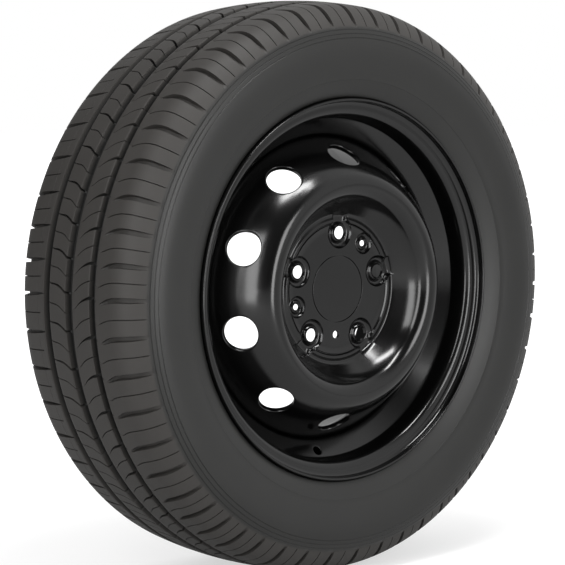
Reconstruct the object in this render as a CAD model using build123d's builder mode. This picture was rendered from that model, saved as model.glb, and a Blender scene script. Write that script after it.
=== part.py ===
from build123d import *
import os
from math import atan2, degrees, radians, sqrt, tan

# A pressed-steel road wheel with its tubeless radial tyre.
# The origin is the wheel's centre, the axle line is Y, the street side faces -Y and Z is up.
# Sections are drawn as (axial place, radius) on the YZ plane and turned about the Y axis.

os.makedirs("parts", exist_ok=True)

# Rim, rolled from steel strip: sixteen inch bead seats, seven inches between the flanges.
bead_seat_diameter = 405.6
rim_width = 177.8
rim_sheet = 3.0
flange_height = 17.5
flange_curl = 9.5
flange_curl_angle = 110.0
heel_radius = 6.5
seat_taper = 5.0
seat_length = 24.0
well_depth = 23.0
well_outer_edge = 50.0
well_inner_edge = 12.0
drop_run = 20.0
drop_depth = 8.5
valve_hole_diameter = 11.5
valve_radius = 191.5
valve_angle = 265.5

# Disc, pressed from steel plate: bolt circle, bowl, crown, vented cone and flange.
disc_sheet = 6.0
offset_depth = 73.0
bolt_circle = 130.0
bolt_count = 5
bolt_hole_diameter = 17.0
bolt_cone_diameter = 21.5
bolt_cone_angle = 70.0
bolt_collar_diameter = 26.0
bolt_recess_diameter = 36.5
bolt_neck_width = 22.0
recess_depth = 3.2
collar_rise = 1.6
locating_hole_diameter = 9.7
locating_collar_diameter = 14.0
locating_recess_diameter = 25.7
locating_angles = (54.0, 198.0)
drain_hole_diameter = 9.0
drain_circle = 106.0
drain_angle = 270.0
hub_bore_diameter = 71.6
cap_diameter = 78.2
cap_sheet = 2.4
cap_gap = 0.25
pad_diameter = 150.0
pad_drop = 1.5
pad_slope_run = 4.0
pad_edge_round = 8.0
pad_line_round = 1.0
bowl_floor_diameter = 171.0
bowl_wall_angle = 55.0
bowl_bend = 7.0
crown_round = 21.3
crown_shoulder_diameter = 287.6
crown_shoulder_place = -99.2
crown_shoulder_angle = 42.0
crown_shoulder_round = 80.0
cone_angle = 57.0
cone_bend = 14.0
disc_flange_length = 20.2
vent_circle = 310.2
vent_count = 10
vent_diameter = 40.0
wheel_clock = -2.6
tool_overrun = 6.0

# Welds that hold the disc's flange in the rim's well.
weld_count = 8
weld_leg = 4.5
weld_arc = 24.0

# Tyre: 215 mm nominal section, 60 series.
tyre_diameter = 664.4
tyre_section = 225.0
widest_diameter = 550.0
tread_arch = 563.0
shoulder_round = 36.0
upper_wall_round = 58.0
tread_depth = 8.0
under_tread = 9.0
sidewall = 9.5
liner_flat = 60.0
bead_width = 18.0
bead_toe_rise = 14.0
bead_toe_lean = 3.0
lip_gap = 1.7
groove_places = (-47.4, -7.7, 34.6)
groove_widths = (9.6, 12.6, 11.6)
groove_draft = 8.0
slot_depth = 5.0
slot_stations = (
    ((-61.5, -4.0, 0.8), (-76.0, 1.8, 3.6), (-103.0, 2.2, 3.0)),
    ((-46.0, 1.2, 3.0), (-25.5, -6.0, 1.0)),
    ((-5.0, 2.5, 2.2), (31.0, 13.0, 2.2)),
    ((42.0, 0.5, 1.0), (103.0, -3.9, 3.6)),
)

# Tread blocks: short, middle and long pitches follow each other in a mixed order,
# which breaks up the road noise.
pitch_lengths = {"S": 5.44, "M": 6.57, "L": 7.40}
pitch_order = "MMMMLLLLMMMLLLLMMSSSSMMLLLMMMSSSMMLLLLMMMMSSSMMLLLMMMM"
pitch_start = 103.15

# Places shared by the pieces
seat_radius = bead_seat_diameter / 2
rim_half = rim_width / 2
flange_top = seat_radius + flange_height
curl_centre = (rim_half + flange_curl, flange_top - flange_curl)
well_radius = seat_radius - well_depth
well_bore = well_radius - rim_sheet
seat_end = rim_half - seat_length
mount_face = -offset_depth
hub_face = mount_face - disc_sheet
bolt_radius = bolt_circle / 2
vent_radius = vent_circle / 2
crown_shoulder_radius = crown_shoulder_diameter / 2
bowl_radius = bowl_floor_diameter / 2
tread_radius = tyre_diameter / 2
half_section = tyre_section / 2
widest_radius = widest_diameter / 2


def seat_at(place):
    """Radius of the tapered bead seat at a distance from the rim's middle."""
    return seat_radius - (rim_half - place) * tan(radians(seat_taper))


def round_axle(angle):
    """Place at an angle round the axle, seen from the street side: 0 is +X and 90 is up."""
    return Rotation(0, 90 - angle, 0)


# Rim: one strip from lip to lip, drawn along its tyre side and thickened towards the axle.
drop_end = drop_run - well_inner_edge
well_wall_fall = seat_at(seat_end) - well_radius
well_wall_run = seat_end - well_outer_edge
well_wall_angle = degrees(atan2(well_wall_run, well_wall_fall))
valve_place = -seat_end + (seat_at(seat_end) - valve_radius) * well_wall_run / well_wall_fall
with BuildPart() as rim:
    with BuildSketch(Plane.YZ):
        with BuildLine():
            outer_curl = CenterArc(
                (-curl_centre[0], curl_centre[1]), flange_curl, flange_curl_angle, -flange_curl_angle
            )
            inner_curl = CenterArc(curl_centre, flange_curl, 180, -flange_curl_angle)
            FilletPolyline(
                outer_curl @ 1,
                (-rim_half, seat_radius),
                (-seat_end, seat_at(seat_end)),
                (-well_outer_edge, well_radius),
                (-well_inner_edge, well_radius),
                (drop_end, seat_at(seat_end) - drop_depth),
                (seat_end, seat_at(seat_end)),
                (rim_half, seat_radius),
                inner_curl @ 0,
                radius=heel_radius,
            )
            offset(amount=rim_sheet, side=Side.RIGHT)
        make_face()
    revolve(axis=Axis.Y)
    with Locations(round_axle(valve_angle)):
        with Locations((0, valve_place, valve_radius)):
            Cylinder(
                valve_hole_diameter / 2,
                2 * (rim_sheet + tool_overrun),
                rotation=(well_wall_angle - 90, 0, 0),
                mode=Mode.SUBTRACT,
            )

rim.part.label = "rim"
export_step(rim.part, "parts/rim.step")

# Disc: the plate is drawn along its street side and thickened inwards, then faced flat behind the hub.
ring_face = hub_face + pad_drop
wall_slope = tan(radians(bowl_wall_angle))
crown_slope = tan(radians(crown_shoulder_angle))
cone_slope = tan(radians(cone_angle))
wall_start = ring_face + bowl_radius * wall_slope
crown_start = crown_shoulder_place - crown_shoulder_radius * crown_slope
crown_radius = (wall_start - crown_start) / (wall_slope + crown_slope)
crown_corner = wall_start - crown_radius * wall_slope
flange_corner = crown_shoulder_place + (well_bore - crown_shoulder_radius) * cone_slope
flange_end = flange_corner + disc_flange_length
vent_place = crown_shoulder_place + (vent_radius - crown_shoulder_radius) * cone_slope
street_side = Plane(origin=(0, hub_face, 0), x_dir=(1, 0, 0), z_dir=(0, -1, 0))
recess_floor = street_side.offset(-recess_depth)
collar_face = recess_floor.offset(collar_rise)
bolt_start = 90 + wheel_clock
neck_length = bowl_radius - bolt_radius
with BuildPart() as disc:
    with BuildSketch(Plane.YZ):
        with BuildLine():
            FilletPolyline(
                (hub_face, hub_bore_diameter / 2),
                (hub_face, pad_diameter / 2),
                (ring_face, pad_diameter / 2 + pad_slope_run),
                (ring_face, bowl_radius),
                (crown_corner, crown_radius),
                (crown_shoulder_place, crown_shoulder_radius),
                (flange_corner, well_bore),
                (flange_end, well_bore),
                radius=(
                    pad_edge_round, pad_line_round, bowl_bend, crown_round, crown_shoulder_round, cone_bend
                ),
            )
            offset(amount=disc_sheet, side=Side.RIGHT)
        make_face()
    revolve(axis=Axis.Y)
    with BuildSketch(Plane.XZ.offset(-mount_face)):
        Circle(bowl_radius + disc_sheet)
    extrude(amount=-pad_drop - tool_overrun, mode=Mode.SUBTRACT)
    with BuildSketch(street_side):
        Circle(cap_diameter / 2)
    extrude(amount=-cap_sheet, mode=Mode.SUBTRACT)
    with BuildSketch(street_side):
        with PolarLocations(bolt_radius, bolt_count, bolt_start):
            Circle(bolt_recess_diameter / 2)
            Rectangle(neck_length, bolt_neck_width, align=(Align.MIN, Align.CENTER))
        for angle in locating_angles:
            with PolarLocations(bolt_radius, 1, angle + wheel_clock):
                Circle(locating_recess_diameter / 2)
    extrude(amount=-recess_depth, mode=Mode.SUBTRACT)
    with BuildSketch(recess_floor):
        with PolarLocations(bolt_radius, bolt_count, bolt_start):
            Circle(bolt_collar_diameter / 2)
        for angle in locating_angles:
            with PolarLocations(bolt_radius, 1, angle + wheel_clock):
                Circle(locating_collar_diameter / 2)
    extrude(amount=collar_rise)
    with Locations(collar_face):
        with PolarLocations(bolt_radius, bolt_count, bolt_start):
            CounterSinkHole(bolt_hole_diameter / 2, bolt_cone_diameter / 2, disc_sheet, bolt_cone_angle)
        for angle in locating_angles:
            with PolarLocations(bolt_radius, 1, angle + wheel_clock):
                Hole(locating_hole_diameter / 2, disc_sheet)
    with Locations(street_side):
        with PolarLocations(drain_circle / 2, 1, drain_angle + wheel_clock):
            Hole(drain_hole_diameter / 2, disc_sheet)
    for vent in range(vent_count):
        with Locations(round_axle(bolt_start + vent * 360 / vent_count)):
            with Locations((0, vent_place, vent_radius)):
                Cylinder(
                    vent_diameter / 2,
                    2 * (disc_sheet + tool_overrun),
                    rotation=(90 - cone_angle, 0, 0),
                    mode=Mode.SUBTRACT,
                )

disc.part.label = "disc"
export_step(disc.part, "parts/disc.step")

# Centre cap: a flat plate that sits in the rebate round the hub's bore, flush with the hub's face.
with BuildPart() as centre_cap:
    with BuildSketch(street_side):
        Circle(cap_diameter / 2 - cap_gap)
    extrude(amount=-cap_sheet)

centre_cap.part.label = "centre_cap"
export_step(centre_cap.part, "parts/centre_cap.step")

# Welds: short fillet beads between the end of the disc's flange and the bore of the rim's well.
with BuildPart() as disc_welds:
    for weld in range(weld_count):
        with BuildSketch(Plane.YZ.rotated((0, weld * 360 / weld_count, 0))):
            with BuildLine():
                Polyline(
                    (flange_end, well_bore),
                    (flange_end, well_bore - weld_leg),
                    (flange_end + weld_leg, well_bore),
                    close=True,
                )
            make_face()
        revolve(axis=Axis.Y, revolution_arc=weld_arc)

disc_welds.part.label = "disc_welds"
export_step(disc_welds.part, "parts/disc_welds.step")

# Tyre outline: the shoulder's arc lies inside the tread's arch and the upper wall's arc and touches both.
arch_centre = Vector(0, tread_radius - tread_arch)
wall_centre = Vector(half_section - upper_wall_round, widest_radius)
arch_to_wall = wall_centre - arch_centre
centre_gap = arch_to_wall.length
towards_wall = arch_to_wall.normalized()
beside_wall = Vector(towards_wall.Y, -towards_wall.X)


def shoulder_fit(sink):
    """Centre of the shoulder's arc under a tread sunk by an amount, and its angles at wall and tread."""
    arch_reach = tread_arch - sink - shoulder_round
    wall_reach = upper_wall_round - shoulder_round
    along = (arch_reach**2 - wall_reach**2 + centre_gap**2) / (2 * centre_gap)
    aside = sqrt(arch_reach**2 - along**2)
    centre = arch_centre + towards_wall * along + beside_wall * aside
    from_wall = centre - wall_centre
    from_arch = centre - arch_centre
    return centre, degrees(atan2(from_wall.Y, from_wall.X)), degrees(atan2(from_arch.Y, from_arch.X))


def shoulder_arcs(sink):
    """Upper wall and shoulder, from the tyre's widest point to the edge of a sunk tread."""
    centre, wall_turn, edge_turn = shoulder_fit(sink)
    CenterArc(wall_centre, upper_wall_round, 0, wall_turn)
    CenterArc(centre, shoulder_round, wall_turn, edge_turn - wall_turn)


def crown_arc(sink):
    """Arc across a sunk tread from edge to edge."""
    centre, wall_turn, edge_turn = shoulder_fit(sink)
    CenterArc(arch_centre, tread_arch - sink, edge_turn, 180 - 2 * edge_turn)


# Tread slots: each runs through the (place along Y, place along X, width) stations of its plan
# at the top of the tyre. Its floor follows the tread and runs out on the upper wall.
with BuildPart() as slot_floor:
    with BuildSketch(Plane.YZ):
        with BuildLine():
            shoulder_arcs(slot_depth)
            mirror(about=Plane.YZ)
            crown_arc(slot_depth)
            Line((-half_section, widest_radius), (half_section, widest_radius))
        make_face()
    revolve(axis=Axis.Y)


def slot_cutter(stations):
    """Solid that cuts one slot at the top of the tyre."""
    ahead = [(x + width / 2, y) for y, x, width in stations]
    behind = [(x - width / 2, y) for y, x, width in reversed(stations)]
    with BuildPart() as cutter:
        with BuildSketch(Plane.XY.offset(widest_radius)):
            with BuildLine():
                Polyline(*ahead, *behind, close=True)
            make_face()
        extrude(amount=tread_radius + tool_overrun - widest_radius)
        add(slot_floor.part, mode=Mode.SUBTRACT)
    return cutter.part


slots = [slot_cutter(stations) for stations in slot_stations]
pitch_scale = 360 / sum(pitch_lengths[size] for size in pitch_order)
pitch_angle = pitch_start
pitch_places = []
for size in pitch_order:
    pitch_places.append(round_axle(pitch_angle))
    pitch_angle += pitch_lengths[size] * pitch_scale

# Tyre: one moulded ring from bead to bead, with three grooves round it and slots across its ribs.
liner_radius = tread_radius - tread_depth - under_tread
liner_half = half_section - sidewall
lip_point = (curl_centre[0], flange_top + lip_gap)
bead_toe = (rim_half - bead_width, seat_at(rim_half - bead_width))
toe_top = (bead_toe[0] + bead_toe_lean, bead_toe[1] + bead_toe_rise)
groove_spread = 2 * tread_depth * tan(radians(groove_draft))
with BuildPart() as tyre:
    with BuildSketch(Plane.YZ):
        with BuildLine():
            shoulder_arcs(0)
            TangentArc((half_section, widest_radius), lip_point, tangent=(0, -1))
            TangentArc((rim_half, curl_centre[1]), lip_point, tangent=(0, 1))
            FilletPolyline((rim_half, curl_centre[1]), (rim_half, seat_radius), bead_toe, radius=heel_radius)
            Line(bead_toe, toe_top)
            TangentArc((liner_half, widest_radius), toe_top, tangent=(0, -1))
            TangentArc((liner_half, widest_radius), (liner_flat, liner_radius), tangent=(0, 1))
            mirror(about=Plane.YZ)
            crown_arc(0)
            Line((-liner_flat, liner_radius), (liner_flat, liner_radius))
        make_face()
    revolve(axis=Axis.Y)
    with BuildSketch(Plane.YZ):
        for place, width in zip(groove_places, groove_widths):
            sunk = tread_arch - sqrt(tread_arch**2 - place**2)
            with Locations((place, tread_radius - sunk - tread_depth)):
                Trapezoid(
                    width - groove_spread,
                    tread_depth + tool_overrun,
                    90 + groove_draft,
                    align=(Align.CENTER, Align.MIN),
                )
    revolve(axis=Axis.Y, mode=Mode.SUBTRACT)
    with Locations(*pitch_places):
        for slot in slots:
            add(slot, mode=Mode.SUBTRACT)

tyre.part.label = "tyre"
export_step(tyre.part, "parts/tyre.step")
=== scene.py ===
import math

import bmesh
import bpy
import numpy as np
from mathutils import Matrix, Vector


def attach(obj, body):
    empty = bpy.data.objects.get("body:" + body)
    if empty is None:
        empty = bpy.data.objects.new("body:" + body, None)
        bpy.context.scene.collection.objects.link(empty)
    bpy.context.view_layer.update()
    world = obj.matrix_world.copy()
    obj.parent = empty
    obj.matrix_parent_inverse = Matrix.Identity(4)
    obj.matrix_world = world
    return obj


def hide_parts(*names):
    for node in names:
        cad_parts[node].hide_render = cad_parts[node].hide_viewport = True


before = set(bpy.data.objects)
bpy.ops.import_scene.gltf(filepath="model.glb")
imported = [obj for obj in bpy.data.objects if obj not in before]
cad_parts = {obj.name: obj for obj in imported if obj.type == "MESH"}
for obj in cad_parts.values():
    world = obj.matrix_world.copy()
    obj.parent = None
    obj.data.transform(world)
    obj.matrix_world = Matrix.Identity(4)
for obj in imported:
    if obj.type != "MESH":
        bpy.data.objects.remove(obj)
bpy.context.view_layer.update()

# Tyre: a tubeless radial, moulded in one piece from black rubber and stretched over the rim's seats.
# The mould gives it three grooves round the tread, slots and thin sipes across the ribs, and plain
# sidewalls with fine raised rings. It is one closed skin, drawn in millimetres about the axle line Y.
MM = 0.001
MERGE_MM = 0.002
TREAD_RADIUS = 332.2
TREAD_ARCH = 563.0
HALF_SECTION = 112.5
WIDEST_RADIUS = 275.0
UPPER_WALL_ROUND = 58.0
SHOULDER_ROUND = 36.0
LOWER_WALL_ROUND = 106.7
LIP_RADIUS = 222.0
GROOVE_PLACES = (-47.4, -7.7, 34.6)
GROOVE_WIDTHS = (9.6, 12.6, 11.6)
GROOVE_DEPTH = 8.0
PITCH_LENGTHS = {"S": 5.44, "M": 6.57, "L": 7.40}
PITCH_ORDER = "MMMMLLLLMMMLLLLMMSSSSMMLLLMMMSSSMMLLLLMMMMSSSMMLLLMMMM"
PITCH_START = 102.8


def turned(place, radius, angle):
    """Points at a place along the axle, a distance from it and an angle round it: 0 is +X, 90 is up."""
    turn = np.radians(angle)
    parts = np.broadcast_arrays(radius * np.cos(turn), place, radius * np.sin(turn))
    return np.stack(parts, axis=-1)


def arc_rows(centre, radius, start, stop, count):
    """Points (place, radius) and outward normals on an arc from one angle to another, in degrees."""
    angle = np.radians(np.linspace(start, stop, count))
    normals = np.stack([np.cos(angle), np.sin(angle)], axis=-1)
    return np.array(centre) + radius * normals, normals


def curve_through(knots, at):
    """Smooth curve through (place, value) knots: cubic Hermite spans with the knots' mean slopes."""
    places, values = np.array(knots).T
    slopes = np.gradient(values, places)
    at = np.clip(at, places[0], places[-1])
    span = np.clip(np.searchsorted(places, at) - 1, 0, len(places) - 2)
    run = places[span + 1] - places[span]
    t = (at - places[span]) / run
    return (
        values[span] * (1 + 2 * t) * (1 - t) ** 2
        + run * slopes[span] * t * (1 - t) ** 2
        + values[span + 1] * t * t * (3 - 2 * t)
        + run * slopes[span + 1] * t * t * (t - 1)
    )


def skin(name, grids, sharp_angle):
    """Piece made of grids of points in mm, each (points, joined rows, joined columns). Shared edges are
    merged, faces are turned outwards, and edges that turn more than the sharp angle stay crisp."""
    points = []
    quads = []
    first = 0
    for grid, join_rows, join_columns in grids:
        rows, columns = grid.shape[:2]
        index = first + np.arange(rows * columns).reshape(rows, columns)
        if join_rows:
            index = np.vstack([index, index[:1]])
        if join_columns:
            index = np.hstack([index, index[:, :1]])
        corners = [index[:-1, :-1], index[1:, :-1], index[1:, 1:], index[:-1, 1:]]
        points.append(grid.reshape(-1, 3))
        quads.append(np.stack(corners, axis=-1).reshape(-1, 4))
        first += rows * columns
    mesh = bpy.data.meshes.new(name)
    mesh.from_pydata((np.concatenate(points) * MM).tolist(), [], np.concatenate(quads).tolist())
    work = bmesh.new()
    work.from_mesh(mesh)
    bmesh.ops.remove_doubles(work, verts=work.verts, dist=MERGE_MM * MM)
    bmesh.ops.recalc_face_normals(work, faces=work.faces)
    work.to_mesh(mesh)
    work.free()
    mesh.shade_smooth()
    mesh.set_sharp_from_angle(angle=math.radians(sharp_angle))
    piece = bpy.data.objects.new(name, mesh)
    bpy.context.scene.collection.objects.link(piece)
    return piece


# The shoulder's arc touches the tread's arch and the upper wall's arc from inside.
arch_centre = np.array([0.0, TREAD_RADIUS - TREAD_ARCH])
wall_centre = np.array([HALF_SECTION - UPPER_WALL_ROUND, WIDEST_RADIUS])
to_wall = wall_centre - arch_centre
wall_gap = np.hypot(*to_wall)
arch_reach = TREAD_ARCH - SHOULDER_ROUND
wall_reach = UPPER_WALL_ROUND - SHOULDER_ROUND
along = (arch_reach**2 - wall_reach**2 + wall_gap**2) / (2 * wall_gap)
aside = math.sqrt(arch_reach**2 - along**2)
unit = to_wall / wall_gap
shoulder_centre = arch_centre + along * unit + aside * np.array([unit[1], -unit[0]])
edge_angle = math.degrees(math.atan2(*(shoulder_centre - arch_centre)[::-1]))
wall_angle = math.degrees(math.atan2(*(shoulder_centre - wall_centre)[::-1]))
arch_edge = TREAD_ARCH * math.cos(math.radians(edge_angle))

# Rows across the tread: each groove has a broken edge, steep walls and a round floor, and a fine line runs
# round the inboard shoulder.
GROOVE_STEPS = np.array([-1.14, -1.0, -0.8, -0.4, 0.4, 0.8, 1.0, 1.14])
GROOVE_FALLS = np.array([0.0, 0.06, 0.9, 1.0, 1.0, 0.9, 0.06, 0.0]) * GROOVE_DEPTH
RIB_ROWS = (12, 10, 10, 12)
FINE_LINE_PLACE = 53.0
FINE_LINE_WIDTH = 1.0
FINE_LINE_DEPTH = 0.9
ACROSS_LINE = np.array([-0.5, 0, 0.5])
rib_edges = [-arch_edge]
for place, width in zip(GROOVE_PLACES, GROOVE_WIDTHS):
    rib_edges += [place + GROOVE_STEPS[0] * width / 2, place + GROOVE_STEPS[-1] * width / 2]
rib_edges.append(arch_edge)
crown_places = []
crown_depths = []
for rib, count in enumerate(RIB_ROWS):
    rib_places = np.linspace(rib_edges[2 * rib], rib_edges[2 * rib + 1], count)[1:-1]
    crown_places.append(rib_places)
    crown_depths.append(np.zeros(count - 2))
    if rib < len(GROOVE_PLACES):
        crown_places.append(GROOVE_PLACES[rib] + GROOVE_STEPS * GROOVE_WIDTHS[rib] / 2)
        crown_depths.append(GROOVE_FALLS)
fine_line = FINE_LINE_PLACE + FINE_LINE_WIDTH * ACROSS_LINE
crown_places = np.concatenate(crown_places + [fine_line])
crown_depths = np.concatenate(crown_depths + [np.array([0.0, 1.0, 0.0]) * FINE_LINE_DEPTH])
crown_order = np.argsort(crown_places)
crown_places = crown_places[crown_order]
crown_depths = crown_depths[crown_order]
crown_lean = np.arcsin(crown_places / TREAD_ARCH)
crown_normals = np.stack([np.sin(crown_lean), np.cos(crown_lean)], axis=-1)
crown_points = arch_centre + TREAD_ARCH * crown_normals

# Rows down one wall, from the tread's edge to the rim's lip: three fine lines cut in under the tread's
# edge, and one raised ring near the rim that shows a fitter whether the bead sits evenly.
LINE_RADII = (288.4, 293.2, 298.0)
LINE_WIDTH = 1.2
LINE_DEPTH = 0.5
RING_RADIUS = 241.6
RING_WIDTH = 2.0
RING_RISE = 0.4
SLOT_END_RADII = (301.2, 302.3, 303.6)
SHOULDER_ROWS = 12
UPPER_ROWS = 13
LOWER_ROWS = 9
shoulder_points, shoulder_normals = arc_rows(
    shoulder_centre, SHOULDER_ROUND, edge_angle, wall_angle, SHOULDER_ROWS
)
lower_stop = -math.degrees(math.asin((WIDEST_RADIUS - LIP_RADIUS) / LOWER_WALL_ROUND))
line_radii = (np.array(LINE_RADII)[:, None] + LINE_WIDTH * ACROSS_LINE).reshape(-1)
marked_radii = np.concatenate([line_radii, SLOT_END_RADII])
marked_angles = np.degrees(np.arcsin((marked_radii - WIDEST_RADIUS) / UPPER_WALL_ROUND))
upper_angles = np.concatenate([np.linspace(wall_angle, 0, UPPER_ROWS), marked_angles])
line_lifts = np.tile([0.0, -LINE_DEPTH, 0.0], len(LINE_RADII))
upper_lifts = np.concatenate([np.zeros(UPPER_ROWS), line_lifts, np.zeros(len(SLOT_END_RADII))])
bead_ring_radii = RING_RADIUS + RING_WIDTH * ACROSS_LINE
bead_ring_angles = np.degrees(np.arcsin((bead_ring_radii - WIDEST_RADIUS) / LOWER_WALL_ROUND))
lower_angles = np.concatenate([np.linspace(0, lower_stop, LOWER_ROWS), bead_ring_angles])
lower_lifts = np.concatenate([np.zeros(LOWER_ROWS), [0.0, RING_RISE, 0.0]])
wall_points = [shoulder_points[:-1]]
wall_normals = [shoulder_normals[:-1]]
wall_lifts = [np.zeros(len(shoulder_points) - 1)]
lower_centre = (HALF_SECTION - LOWER_WALL_ROUND, WIDEST_RADIUS)
for centre, radius, angles, lifts in (
    (wall_centre, UPPER_WALL_ROUND, upper_angles, upper_lifts),
    (lower_centre, LOWER_WALL_ROUND, lower_angles, lower_lifts),
):
    downwards = np.argsort(-angles)
    lean = np.radians(angles[downwards])
    normals = np.stack([np.cos(lean), np.sin(lean)], axis=-1)
    keep = slice(None) if radius == LOWER_WALL_ROUND else slice(None, -1)
    wall_points.append((np.array(centre) + radius * normals)[keep])
    wall_normals.append(normals[keep])
    wall_lifts.append(lifts[downwards][keep])
wall_points = np.concatenate(wall_points)
wall_normals = np.concatenate(wall_normals)
wall_lifts = np.concatenate(wall_lifts)

# The bead goes round the rim's flange to its seat, and the liner closes the inside.
BEAD_POINTS = (
    (93.6, 219.9), (90.3, 216.0), (88.95, 210.8), (88.9, 206.5), (86.6, 203.4), (71.0, 201.3),
)
LINER_POINTS = (
    (73.9, 215.2), (88.0, 236.0), (98.5, 256.0), (103.0, 275.0), (99.6, 294.0), (86.0, 309.0), (60.0, 315.2),
)
MIRROR = np.array([-1.0, 1.0])
inside = np.array(BEAD_POINTS + LINER_POINTS)
row_points = np.concatenate(
    [wall_points[::-1] * MIRROR, crown_points, wall_points, inside, inside[::-1] * MIRROR]
)
no_lift = np.zeros(len(inside))
still = np.zeros((len(inside), 2))
row_normals = np.concatenate([wall_normals[::-1] * MIRROR, crown_normals, wall_normals, still, still])
row_falls = np.concatenate([-wall_lifts[::-1], crown_depths, -wall_lifts, no_lift, no_lift])

# Slots and sipes, by place across the tread: their course round the tyre in degrees, and their width and
# depth in millimetres. One slot and one sipe stand in each pitch.
SLOT_COURSE = (
    (-112, 0.0), (-96, 0.0), (-84, 0.0), (-74, 0.2), (-61.6, 0.9), (-58, 1.15), (-53, 0.4), (-47, 0.05),
    (-36.6, 0.3), (-25.5, 1.3), (-18.7, 2.3), (-14.5, 2.4), (-8, 0.3), (-4.2, -0.2), (2, -0.9), (10.8, -1.7),
    (24.8, -2.05), (31, -2.1), (38, 0.0), (41, 0.08), (48, 0.17), (80, 0.6), (112, 0.8),
)
SLOT_WIDTH = (
    (-112, 4.6), (-106, 5.0), (-100, 6.0), (-78, 6.2), (-68, 5.4), (-62, 3.4), (-58, 1.0), (-53, 2.0),
    (-46, 3.6), (-36, 3.0), (-26, 1.5), (-18, 0.8), (-8, 2.4), (0, 3.2), (12, 2.6), (25, 1.6), (34, 1.0),
    (41, 1.2), (48, 2.8), (62, 4.2), (100, 4.4), (112, 3.0),
)
SLOT_DEPTH = (
    (-106.4, 0), (-105.5, 0.9), (-102, 3.4), (-97, 5.6), (-76, 6.0), (-66, 5.0), (-58.4, 0), (-53, 0),
    (-52, 6), (-30, 4.5), (-24, 2.2), (-17.5, 0), (-2.6, 0), (-1.6, 6), (29, 4), (31, 0), (40.4, 0), (42, 2),
    (50, 5), (62, 6), (97, 5.6), (102, 3.4), (105.5, 0.9), (106.4, 0),
)
SIPE_COURSE = (
    (-112, 0.0), (-96, 0.0), (-84, 0.0), (-71.5, 0.26), (-64.6, 0.6), (-56, 1.08), (-52, 0.7), (-46, 0.1),
    (-36.6, 0.4), (-25.5, 1.35), (-18, 2.4), (-14.5, 2.5), (-8, 0.3), (-3, -0.2), (10.8, -1.6), (24.8, -2.0),
    (31, -2.1), (38, 0.0), (44, 0.12), (50, 0.2), (80, 0.5), (112, 0.6),
)
SIPE_DEPTH = (
    (-106, 0), (-104.5, 2.4), (-60, 2.4), (-55.8, 0), (-53, 0), (-52, 2.6), (-22, 2.6), (-17, 0), (-2.6, 0),
    (-1.6, 2.6), (29, 2.6), (31, 0), (49, 0), (51, 2.4), (104, 2.4), (106, 0),
)
SIPE_WIDTH = 1.3
SLOT_STEPS = np.array([-0.5, -0.4, 0.38, 0.5])
SIPE_STEPS = np.array([-0.5, -0.25, 0.25, 0.5])
CUT_FALLS = np.array([0.0, 1.0, 1.0, 0.0])
row_places, row_radii = row_points.T
row_count = len(row_points)
on_tread = (np.arange(row_count) < row_count - 2 * len(inside)) & (row_radii > WIDEST_RADIUS)
slot_depth = np.interp(row_places, *np.array(SLOT_DEPTH).T) * on_tread
sipe_depth = np.interp(row_places, *np.array(SIPE_DEPTH).T) * on_tread
to_degrees = 180 / (math.pi * TREAD_RADIUS)
slot_width = curve_through(SLOT_WIDTH, row_places) * to_degrees
slot_course = curve_through(SLOT_COURSE, row_places)
sipe_course = curve_through(SIPE_COURSE, row_places)
sipe_width = SIPE_WIDTH * to_degrees
pitches = np.array([PITCH_LENGTHS[size] for size in PITCH_ORDER])
pitch_angles = PITCH_START + 360 / pitches.sum() * np.concatenate([[0], np.cumsum(pitches)])
halfway = (pitch_angles[:-1] + pitch_angles[1:]) / 2
slot_angles = (
    pitch_angles[None, :, None] + slot_course[:, None, None] + slot_width[:, None, None] * SLOT_STEPS
)
sipe_angles = halfway[None, :, None] + sipe_course[:, None, None] + SIPE_STEPS * sipe_width
column_angles = np.concatenate(
    [
        slot_angles[:, :-1],
        (slot_angles[:, :-1, -1:] + sipe_angles[:, :, :1]) / 2,
        sipe_angles,
        (sipe_angles[:, :, -1:] + slot_angles[:, 1:, :1]) / 2,
    ],
    axis=2,
)
column_angles = column_angles.reshape(row_count, -1)
uncut = np.zeros((row_count, 1))
slot_cuts, sipe_cuts = (depth[:, None] * CUT_FALLS for depth in (slot_depth, sipe_depth))
cuts = np.concatenate([slot_cuts, uncut, sipe_cuts, uncut], axis=1)
falls = np.where(cuts > 0, np.maximum(cuts, row_falls[:, None]), row_falls[:, None])
falls = np.tile(falls, (1, len(pitches)))
tyre_places = row_points[:, :1] - row_normals[:, :1] * falls
tyre_radii = row_points[:, 1:] - row_normals[:, 1:] * falls
tyre_grid = turned(tyre_places, tyre_radii, column_angles)
tyre = skin("tyre_rubber_ring", [(tyre_grid, True, True)], sharp_angle=38)
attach(tyre, "root")
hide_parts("tyre")


def linear(hex_colour):
    """Linear RGBA of an sRGB hex colour."""
    parts = [int(hex_colour[i : i + 2], 16) / 255 for i in (1, 3, 5)]
    return [p / 12.92 if p <= 0.04045 else ((p + 0.055) / 1.055) ** 2.4 for p in parts] + [1.0]


def add_node(tree, kind, settings=(), inputs=()):
    """Adds a node with its settings, and fills its inputs with values or with links from other nodes."""
    made = tree.nodes.new(kind)
    for key, value in dict(settings).items():
        setattr(made, key, value)
    for key, value in dict(inputs).items():
        if isinstance(value, bpy.types.NodeSocket):
            tree.links.new(value, made.inputs[key])
        else:
            made.inputs[key].default_value = value
    return made


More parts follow.
